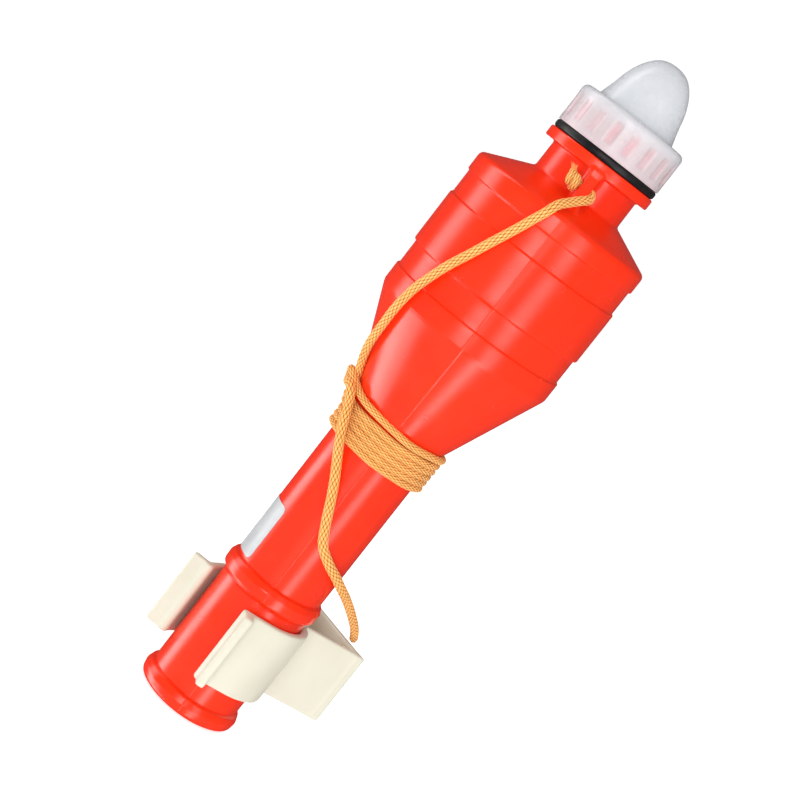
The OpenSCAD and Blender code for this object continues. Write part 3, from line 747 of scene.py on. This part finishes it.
# ---- float body -------------------------------------------------------------------------------------
outer = [(0, 0), (18.6, 0, 2.4), (21.8, 1.6, 2.4), (22.4, 5.2, 2.0), (21.45, 7.9, 0.8), (19.9, 8.65, 0.12), (20.2, 8.95, 0.2), (20.2, 56.1, 0.25),
         (19.95, 56.4, 0.12), (22.3, 58.2, 1.6), (22.4, 62.4, 1.4), (21.4, 64.6, 0.7)]
outer += [(19.88, 65.3, 0.1), (20.2, 65.6, 0.15), (20.2, 141.2, 14), (39.35, 186.0, 0.9), (39.75, 187.4, 0.6), (39.75, 195.1, 0.5), (39.0, 195.7, 0.5),
          (39.0, 206.2, 0.5), (40.1, 206.9, 0.5), (40.1, 229.6, 0.5), (39.3, 230.3, 0.5), (39.3, 240.4, 0.5), (40.1, 241.0, 0.5),
          (40.1, 248.85, 2.6), (20.1, 257.6, 1.6), (20.0, 269.5, 0.9), (24.5, 269.5, 0.7), (24.5, 274.1, 0.8), (19.9, 274.1, 0.5),
          (19.9, 288, 0.6), (18.3, 288, 0.4), (18.3, 255.6, 1), (35.9, 249.0, 1), (37.0, 247.4, 1), (37.0, 188.8, 1), (37.5, 186.8, 1),
          (18.3, 142.5, 4), (18.3, 3.0, 1), (0, 3.0)]
outer = dense(fillet(outer, 5), 2.6)
seam = []
for c in (LUG, LUG + pi):
    seam += [c + q / 40.0 for q in (-0.9, -0.5, -0.28, -0.1, 0.1, 0.28, 0.5, 0.9)]
angles = sorted([2 * pi * k / 176 for k in range(176) if min(abs((2 * pi * k / 176 - s + pi) % (2 * pi) - pi) for s in seam) > 0.012]
                + [s % (2 * pi) for s in seam])


def parting(r, z, a):
    """A fine raised line on both sides of the outside, where the two mould halves met."""
    out = np.full(len(a), float(r))
    if r < 19.95 or z > 273 or (r < 37.6 and 142.6 < z < 186 and r < 18.4 + (z - 142.5) * 0.44):
        return out
    d = np.minimum(np.abs((a - LUG + pi) % (2 * pi) - pi), np.abs((a - LUG) % (2 * pi) - pi)) * 40.0
    return out + 0.11 * np.clip(1 - (d / 0.42) ** 2, 0, 1)


v1, f1 = lathe(outer, angles, parting)
# screw thread on the neck, its ends run out
tv, tf = [], []
turns_t, nseg = 2.0, 96
for i in range(nseg + 1):
    w = i / nseg
    a = 2 * pi * turns_t * w
    z = 279 + 4 * turns_t * w
    q = min(1.0, w * 14, (1 - w) * 14)
    for r, dz in ((19.4, -0.95), (19.95, -0.8), (19.95 + 0.75 * q, -0.42), (19.95 + 0.95 * q, 0), (19.95 + 0.75 * q, 0.42), (19.95, 0.8), (19.4, 0.95)):
        tv.append((r * math.cos(a), r * math.sin(a), z + dz))
for i in range(nseg):
    for k in range(7):
        j = (k + 1) % 7
        tf.append((i * 7 + k, i * 7 + j, (i + 1) * 7 + j, (i + 1) * 7 + k))
tf += [tuple(range(6, -1, -1)), tuple(nseg * 7 + k for k in range(7))]

lug_out = [(17.5, 270.0), (25.0, 270.0), (25.4, 268), (26.5, 265.4), (28.1, 262), (29.3, 258.2), (30.4, 252.0), (17.5, 252.0)]


loop_pts = np.array([[p @ e_r, p @ -e_t, p[2]] for p in line[4:52]])  # where the cord bends round the lug and presses in


def lug_field(x, y, z):
    r = np.hypot(x, y)
    neck = r - 20.0
    k = np.array([-(248.85 - 257.6), 40.1 - 20.1])
    k = k / np.linalg.norm(k)
    shoulder = (r - 20.1) * k[0] + (z - 257.6) * k[1]
    flange = np.maximum(np.maximum(r - 24.5, 269.5 - z), z - 274.1)
    body = np.minimum(np.minimum(np.maximum(neck, z - 272), shoulder), flange)
    lug = extrude_sdf(poly_sdf(x, z, lug_out), np.abs(y) - 2.6, 1.0)
    both = smin(lug, body + 0.04, 2.4)
    near = extrude_sdf(poly_sdf(x, z, lug_out) - 3.2, np.abs(y) - 5.6, 0.5)
    both = np.maximum(np.maximum(both, near), 18.7 - r)
    bore = np.hypot(x - 24.3, z - 262.3) - 2.4
    both = smax(both, -bore, 0.7)
    away = np.full(x.shape, 99.0)
    for q in loop_pts:
        away = np.minimum(away, np.sqrt((x - q[0]) ** 2 + (y - q[1]) ** 2 + (z - q[2]) ** 2))
    return np.maximum(both, 1.85 - away)


lv, lf = surface_nets(lug_field, (16.1, -7.1, 247.1), (35, 7.1, 275), 0.36)
c, s = math.cos(LUG), math.sin(LUG)
lv = np.stack([lv[:, 0] * c - lv[:, 1] * s, lv[:, 0] * s + lv[:, 1] * c, lv[:, 2]], 1)
all_v = list(v1) + tv + lv.tolist()
all_f = list(f1) + [tuple(i + len(v1) for i in f) for f in tf] + [tuple(int(i) + len(v1) + len(tv) for i in f) for f in lf]
body = mesh("float_shell", all_v, all_f, smooth=None)
outward(body)
body.data.polygons.foreach_set("use_smooth", [True] * len(body.data.polygons))
mark_sharp(body.data, 65)
dress(body, "float_plastic", "float", "float_body")

# ---- seal ring and lens cap ----------------------------------------------------------------------------
seal_prof = arc(22.4, 275.3, 1.25, 180, 270, 5) + arc(22.75, 275.3, 1.25, 270, 360, 5) + arc(22.75, 276.2, 1.25, 0, 90, 5) + arc(22.4, 276.2, 1.25, 90, 180, 5)
sv, sf = lathe(seal_prof, [2 * pi * k / 144 for k in range(144)])
seal = mesh("seal_ring_soft", sv, sf, smooth=None)
outward(seal)
seal.data.polygons.foreach_set("use_smooth", [True] * len(seal.data.polygons))
dress(seal, "seal_rubber", "seal", "seal_ring")

GRIP0 = LUG + rad(9)
cap_outer = [(21.5, 277.4, 0.2), (24.1, 277.4, 0.45), (24.1, 294.5, 3.0), (18.9, 294.55, 0.6), (17.35, 294.9, 1.2), (17.05, 296.2, 0.8), (16.25, 298.8),
             (15.3, 302.3), (14.35, 306.2), (12.95, 310), (11.2, 313.3), (9.2, 316), (6.8, 318.2), (4.3, 319.4), (2, 319.88), (0, 319.97)]
dome = smooth_path([(r, z, 0) for r, z in [(17.05, 296.2), (16.25, 298.8), (15.3, 302.3), (14.35, 306.2), (12.95, 310), (11.2, 313.3), (9.2, 316), (6.8, 318.2),
                                           (4.3, 319.4), (2, 319.88), (0, 319.97)]], 0.7, 0.8)[:, :2]
dome[-1][0] = 0.0
prof = dense(fillet(cap_outer[:6], 6), 0.9) + [tuple(p) for p in dome if p[1] > 296.2]
inner = [(0, 318.0), (2, 317.9), (3.8, 317.5), (5.9, 316.4), (7.9, 314.6), (9.6, 312.2), (11.2, 309.1), (12.4, 305.6), (13.3, 301.8), (14.2, 298.2),
         (15, 295, 0.8), (15.2, 291.9, 0.8), (21.5, 291.9, 0.8), (21.5, 277.4)]
cap_angles = [2 * pi * k / 288 for k in range(288)]


def grips(r, z, a):
    out = np.full(len(a), float(r))
    if r < 22.6 or z < 278:
        return out
    w = np.abs(((a - GRIP0) * 18 / (2 * pi) + 0.5) % 1 - 0.5) * (2 * pi / 18) * 24.1
    side = np.clip((2.15 - w) / 0.9, 0, 1)
    side = side * side * (3 - 2 * side)
    low = np.clip((z - 279.9) / 1.4, 0, 1)
    high = np.clip((290.4 - z) / 1.8, 0, 1)
    return out - np.minimum(0.48 * side * low * high, max(0.0, r - 22.3))


v1, f1 = lathe(prof[1:-1] + [(0, 319.97)], cap_angles, grips)
n1 = len(v1)
iv, jf = lathe(list(reversed(fillet(inner[1:], 4))) + [(0, 318.0)], [2 * pi * k / 288 for k in range(288)])
faces = list(f1) + [tuple(reversed([i + n1 for i in f])) for f in jf]
for k in range(288):  # foot of the ring
    j = (k + 1) % 288
    faces.append((k, n1 + k, n1 + j, j))
tv, tf = [], []
nseg = 72
for i in range(nseg + 1):
    w = i / nseg
    a, z = 2 * pi * 1.5 * w, 281 + 4 * 1.5 * w
    q = min(1.0, w * 12, (1 - w) * 12)
    for r, dz in ((21.8, 0.9), (21.45, 0.8), (21.45 - 0.95 * q, 0.3), (21.45 - 0.95 * q, -0.3), (21.45, -0.8), (21.8, -0.9)):
        tv.append((r * math.cos(a), r * math.sin(a), z + dz))
for i in range(nseg):
    for k in range(6):
        j = (k + 1) % 6
        tf.append((i * 6 + k, i * 6 + j, (i + 1) * 6 + j, (i + 1) * 6 + k))
tf += [tuple(range(5, -1, -1)), tuple(nseg * 6 + k for k in range(6))]
base_i = len(v1) + len(iv)
cap = mesh("lens_cap_shell", list(v1) + list(iv) + tv, faces + [tuple(i + base_i for i in f) for f in tf], smooth=None)
outward(cap)
cap.data.polygons.foreach_set("use_smooth", [True] * len(cap.data.polygons))
mark_sharp(cap.data, 50)
dress(cap, "lens_plastic", "cap", "lens_cap")

# ---- blank label -----------------------------------------------------------------------------------------
lab_a0, lab_a1, lab_z0, lab_z1, corner = -168.0, -92.0, 66.6, 92.0, 2.2
wide = rad(lab_a1 - lab_a0) * 20.2
nu, nv = 72, 26
lv2, lf2 = [], []
for side_r in (0.03, 0.19):
    for j in range(nv + 1):
        for i in range(nu + 1):
            x, y = wide * i / nu, (lab_z1 - lab_z0) * j / nv
            cx, cy = min(max(x, corner), wide - corner), min(max(y, corner), lab_z1 - lab_z0 - corner)
            d = math.hypot(x - cx, y - cy)
            if d > corner:
                x, y = cx + (x - cx) * corner / d, cy + (y - cy) * corner / d
            edge = min(x, wide - x, y, lab_z1 - lab_z0 - y)
            wave = 0.05 * math.sin(x * 0.55 + 1.2 * math.sin(y * 0.4)) * math.sin(y * 0.5 + 0.7) if side_r > 0.1 else 0
            lift = side_r + (wave * min(1, max(0, edge) / 2) + 0.03 * max(0.0, 1 - edge / 1.2) if side_r > 0.1 else 0)
            a = rad(lab_a0) + x / 20.2
            lv2.append(((20.2 + lift) * math.cos(a), (20.2 + lift) * math.sin(a), lab_z0 + y))
row = nu + 1
lay = row * (nv + 1)
for j in range(nv):
    for i in range(nu):
        q = j * row + i
        lf2.append((q, q + row, q + row + 1, q + 1))
        lf2.append((lay + q, lay + q + 1, lay + q + row + 1, lay + q + row))
ring = [i for i in range(nu)] + [nu + j * row for j in range(nv)] + [nv * row + i for i in range(nu, 0, -1)] + [j * row for j in range(nv, 0, -1)]
for a, b in zip(ring, ring[1:] + ring[:1]):
    lf2.append((a, b, lay + b, lay + a))
label = mesh("label_film", lv2, lf2, smooth=None)
b = bmesh.new()
b.from_mesh(label.data)
bmesh.ops.remove_doubles(b, verts=b.verts, dist=1e-6)
bmesh.ops.recalc_face_normals(b, faces=b.faces)
b.to_mesh(label.data)
b.free()
label.data.polygons.foreach_set("use_smooth", [True] * len(label.data.polygons))
mark_sharp(label.data, 50)
dress(label, "label", "float", "label_plate")

# ---- clip bracket: one moulding, skinned as two halves -----------------------------------------------------
arm = 112.0
mid_r = 22.25
leave = np.array([mid_r * math.sin(rad(arm)), mid_r * math.cos(rad(arm))])
go = np.array([math.cos(rad(arm)), -math.sin(rad(arm))])
bend_m = leave + 12.4 * go
inner_bend = np.array([20.5 * math.sin(rad(arm)), 20.5 * math.cos(rad(arm))]) + 12.6 * go
lip = np.array([6.4, -4.9]) / math.hypot(6.4, 4.9)
lip_n = np.array([-lip[1], lip[0]])
lip_poly = [inner_bend - 0.2 * lip, inner_bend + 9.3 * lip, inner_bend + 9.3 * lip + 3.8 * lip_n, inner_bend + 3.8 * lip_n - 0.2 * lip]


def seg_sdf(x, y, a, b, r):
    e = b - a
    t = np.clip(((x - a[0]) * e[0] + (y - a[1]) * e[1]) / (e @ e), 0, 1)
    return np.hypot(x - a[0] - e[0] * t, y - a[1] - e[1] * t) - r


def shrink(pts, q):
    """Moves a convex polygon's sides in by q."""
    pts = np.array(pts, float)
    area = sum(pts[i][0] * pts[(i + 1) % len(pts)][1] - pts[(i + 1) % len(pts)][0] * pts[i][1] for i in range(len(pts)))
    if area < 0:
        pts = pts[::-1]
    lines = []
    for i in range(len(pts)):
        e = pts[(i + 1) % len(pts)] - pts[i]
        nn = np.array([-e[1], e[0]]) / np.linalg.norm(e)
        lines.append((nn, nn @ pts[i] + q))
    out = []
    for i in range(len(pts)):
        (n0, c0), (n1, c1) = lines[i - 1], lines[i]
        out.append(np.linalg.solve(np.array([n0, n1]), np.array([c0, c1])))
    return out


def clip_plan(x, y):
    x = np.abs(x)
    r = np.hypot(x, y)
    past = (x - leave[0]) * go[0] + (y - leave[1]) * go[1]
    band = np.abs(r - mid_r) - 1.75
    band = np.where(y < 5, np.maximum(band, past), band)
    d = np.minimum(band, seg_sdf(x, y, leave, bend_m, 1.75))
    d = smin(d, poly_sdf(x, y, shrink(lip_poly, 0.9)) - 0.9, 1.6)
    wall = poly_sdf(x, y, shrink([(8.9, 21.6), (19.5, 52.2), (15.9, 52.2), (6.2, 21.6)], 0.5)) - 0.5
    plate = np.maximum(poly_sdf(x, y, shrink([(-30, 49.0), (18.39, 49.0), (19.5, 52.2), (-30, 52.2)], 0.5)) - 0.5, -30 - x)
    ped = smin(wall, plate, 1.6)
    ped = np.maximum(ped, 20.9 - r)
    return smin(d, ped, 1.8)


zc = 35.7


def clip_field(x, y, z):
    d = extrude_sdf(clip_plan(x[:, :, :1], y[:, :, :1]) + 0 * z, np.abs(z - zc) - 17.0, 0.75)
    for hz in (zc - 9, zc + 9):
        rr = np.hypot(x, z - hz)
        d = np.where(y > 42, smax(d, -(rr - 2.2), 0.5), d)
        d = np.where(y < 34, smax(d, -np.maximum(rr - 3.5, -y), 0.5), d)
    return d


h = 0.62
cv, cf = surface_nets(clip_field, (-h * 45 + h / 2 - h, -28.2, 17.0), (h * 46, 54.5, 54.6), h)
cx = cv[cf].mean(1)[:, 0]
x0 = cv[:, 0].copy()
mid_v = np.abs(x0) < 0.32
cv[mid_v, 0] = 0.0
for side, name, sub in ((1, "clip_right", ["clip_saddle", "clip_arm_right"]), (-1, "clip_left", ["clip_arm_left"])):
    keep = cf[(cx * side) > 0]
    used = np.unique(keep)
    remap = -np.ones(len(cv), int)
    remap[used] = np.arange(len(used))
    o = mesh(name, cv[used], remap[keep], smooth=None)
    b = bmesh.new()
    b.from_mesh(o.data)
    rim = [e for e in b.edges if len(e.link_faces) == 1]
    for e in rim:
        e.smooth = False
    bmesh.ops.holes_fill(b, edges=rim, sides=0)
    for f in b.faces:
        f.smooth = len(f.verts) == 4
    bmesh.ops.recalc_face_normals(b, faces=b.faces)
    b.to_mesh(o.data)
    b.free()
    dress(o, "clip_plastic", None, *sub)
    a0, a1 = rad(22), rad(40)
    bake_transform(o)

# ---- bottom spring ------------------------------------------------------------------------------------------
sp = []
for i in range(0, 4 * 36 + 19):
    a = 2 * pi * i / 36
    w = i / (4 * 36 + 18)
    sp.append((9 * math.cos(a), 9 * math.sin(a), 4.25 + 7.1 * w))
sp = np.array(sp)
T = np.gradient(sp, axis=0)
T /= np.linalg.norm(T, axis=1)[:, None]
N = sp * [1, 1, 0] / 9
N -= (N * T).sum(1)[:, None] * T
B = np.cross(T, N)
wv, wf = [], []
for i in range(len(sp)):
    for k in range(10):
        a = 2 * pi * k / 10
        wv.append(sp[i] + 0.6 * (math.cos(a) * N[i] + math.sin(a) * B[i]))
for i in range(len(sp) - 1):
    for k in range(10):
        j = (k + 1) % 10
        wf.append((i * 10 + k, i * 10 + j, (i + 1) * 10 + j, (i + 1) * 10 + k))
wf += [tuple(range(9, -1, -1)), tuple((len(sp) - 1) * 10 + k for k in range(10))]
spring = mesh("spring_coil", wv, wf, smooth=60)
outward(spring)
dress(spring, "steel", "float", "bottom_spring")
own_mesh(spring)

# ---- floor, world and lights ----------------------------------------------------------------------------------
floor = mesh("floor", [(-9000, -9000, 0), (9000, -9000, 0), (9000, 9000, 0), (-9000, 9000, 0)], [(0, 1, 2, 3)])
fm = Nodes("floor", base=(0.93, 0.93, 0.93), rough=0.8, Specular_IOR_Level=0.1)
fm.p.inputs["Emission Color"].default_value = (1, 1, 1, 1)
fm.p.inputs["Emission Strength"].default_value = 0.66
floor.data.materials.append(fm.mat)
floor.visible_glossy = False

world = bpy.data.worlds.new("studio")
scene.world = world
world.use_nodes = True
wt = world.node_tree
bg = wt.nodes["Background"]
bg.inputs["Color"].default_value = (1, 1, 1, 1)
world.cycles.sampling_method = "NONE"


def wmath(op, *v):
    n = wt.nodes.new("ShaderNodeMath")
    n.operation = op
    for k, x in enumerate(v):
        if isinstance(x, bpy.types.NodeSocket):
            wt.links.new(x, n.inputs[k])
        else:
            n.inputs[k].default_value = x
    return n.outputs[0]


def wdot(co, v):
    n = wt.nodes.new("ShaderNodeVectorMath")
    n.operation = "DOT_PRODUCT"
    wt.links.new(co, n.inputs[0])
    n.inputs[1].default_value = v
    return n.outputs["Value"]


def window(x, lo, hi, soft):
    out = []
    for a, b in ((lo - soft, lo + soft), (hi + soft, hi - soft)):
        n = wt.nodes.new("ShaderNodeMapRange")
        n.interpolation_type = "SMOOTHSTEP"
        wt.links.new(x, n.inputs[0])
        if a < b:
            n.inputs[1].default_value, n.inputs[2].default_value, n.inputs[3].default_value, n.inputs[4].default_value = a, b, 0.0, 1.0
        else:
            n.inputs[1].default_value, n.inputs[2].default_value, n.inputs[3].default_value, n.inputs[4].default_value = b, a, 1.0, 0.0
        out.append(n.outputs[0])
    return wmath("MULTIPLY", out[0], out[1])


co = wt.nodes.new("ShaderNodeTexCoord").outputs["Generated"]
azimuth = wmath("DEGREES", wmath("ARCTAN2", wdot(co, tuple(RIGHT)), wdot(co, tuple(-AWAY))))
elevation = wmath("DEGREES", wmath("ARCSINE", wdot(co, (0, 0, 1))))
# what shiny surfaces mirror: a dim room with tall soft strip lights, azimuth from the camera's side and positive to its right
seen = 0.09
for az, half, soft, e0, e1, e_soft, light in ((-99, 12, 7, -60, -9, 4, 6.5), (-97, 11, 7, -10, 55, 4, 4.1), (-76, 12, 8, -75, -30, 8, 4.4), (35, 7.5, 6, -60, -7, 4, 7.2),
                                              (35, 8, 6, -7, 30, 3, 3.6), (-2, 8.5, 7, -8, 26, 1.5, 6.6)):
    strip = wmath("MULTIPLY", window(azimuth, az - half, az + half, soft), window(elevation, e0, e1, e_soft))
    seen = wmath("ADD", seen, wmath("MULTIPLY", strip, light))
lp = wt.nodes.new("ShaderNodeLightPath")
mx = wt.nodes.new("ShaderNodeMix")
mx.data_type = "FLOAT"
mx.inputs[2].default_value = 0.40
wt.links.new(seen, mx.inputs[3])
wt.links.new(lp.outputs["Is Glossy Ray"], mx.inputs[0])
mx2 = wt.nodes.new("ShaderNodeMix")
mx2.data_type = "FLOAT"
mx2.inputs[3].default_value = 1.05
wt.links.new(mx.outputs[0], mx2.inputs[2])
wt.links.new(lp.outputs["Is Camera Ray"], mx2.inputs[0])
wt.links.new(mx2.outputs[0], bg.inputs["Strength"])


def softbox(name, direction, height, wide, tall, power, dist=1.15, look=(0, 0, 0.16), color=(1, 1, 1)):
    """An area light at an angle from the camera's direction, positive to its right."""
    a = rad(direction)
    d = -AWAY * math.cos(a) + RIGHT * math.sin(a)
    at = Vector((0, 0, height)) + d * dist
    data = bpy.data.lights.new(name, "AREA")
    data.shape = "RECTANGLE"
    data.size, data.size_y, data.energy, data.color = wide, tall, power, color
    o = bpy.data.objects.new(name, data)
    scene.collection.objects.link(o)
    o.location = at
    o.rotation_mode = "QUATERNION"
    o.rotation_quaternion = (Vector(look) - at).to_track_quat("-Z", "Y")
    o.visible_glossy = False
    return o


softbox("key_left", -97, 0.40, 0.15, 1.3, 7.0)
softbox("fill_right", 31, 0.42, 0.09, 1.1, 4.0)
softbox("fill_front", -4, 0.30, 0.5, 0.8, 6.6, dist=1.3)
softbox("overhead", 10, 1.45, 1.0, 1.0, 5.0, dist=0.5)
scene.view_settings.view_transform = "Standard"
scene.view_settings.look = "None"
scene.view_settings.exposure = 0.0
